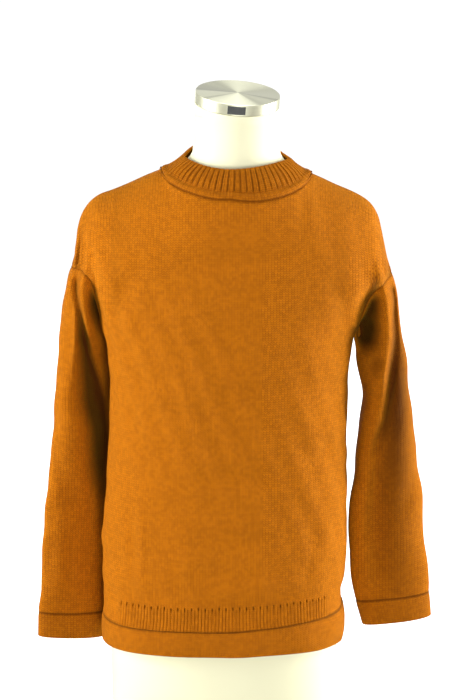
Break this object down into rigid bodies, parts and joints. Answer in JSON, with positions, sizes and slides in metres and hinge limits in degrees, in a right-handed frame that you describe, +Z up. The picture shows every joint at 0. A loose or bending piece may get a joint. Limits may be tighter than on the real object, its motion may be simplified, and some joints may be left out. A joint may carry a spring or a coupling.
{
  "type": "crewneck sweater on a limbless torso form",
  "caption": "Drop-shoulder knitted crewneck sweater with ribbed collar and hem band, worn by a plain limbless torso form with a steel neck cap.",
  "frame": {"origin": "middle of the torso form's flat underside", "axes": "+Z up along the torso, -Y is the wearer's front, +X is the wearer's left"},
  "size_m": [0.585, 0.2445, 0.917],
  "materials": {
    "knit": "matte stockinette wool knit",
    "rib_knit": "matte ribbed wool knit",
    "form_cover": "smooth off-white jersey cover",
    "brushed_steel": "circular brushed",
    "dark_plate": "satin"
  },
  "bodies": {
    "root": {"front": "knit", "back": "knit", "sleeve_left": "knit", "sleeve_right": "knit", "cuff_left": "knit", "cuff_right": "knit", "collar": "rib_knit", "rib_band_front": "rib_knit", "rib_band_back": "rib_knit", "hem_welt_front": "knit", "hem_welt_back": "knit", "torso_form": "form_cover", "neck_cap": "brushed_steel", "cap_plate": "dark_plate"}
  },
  "joints": []
}
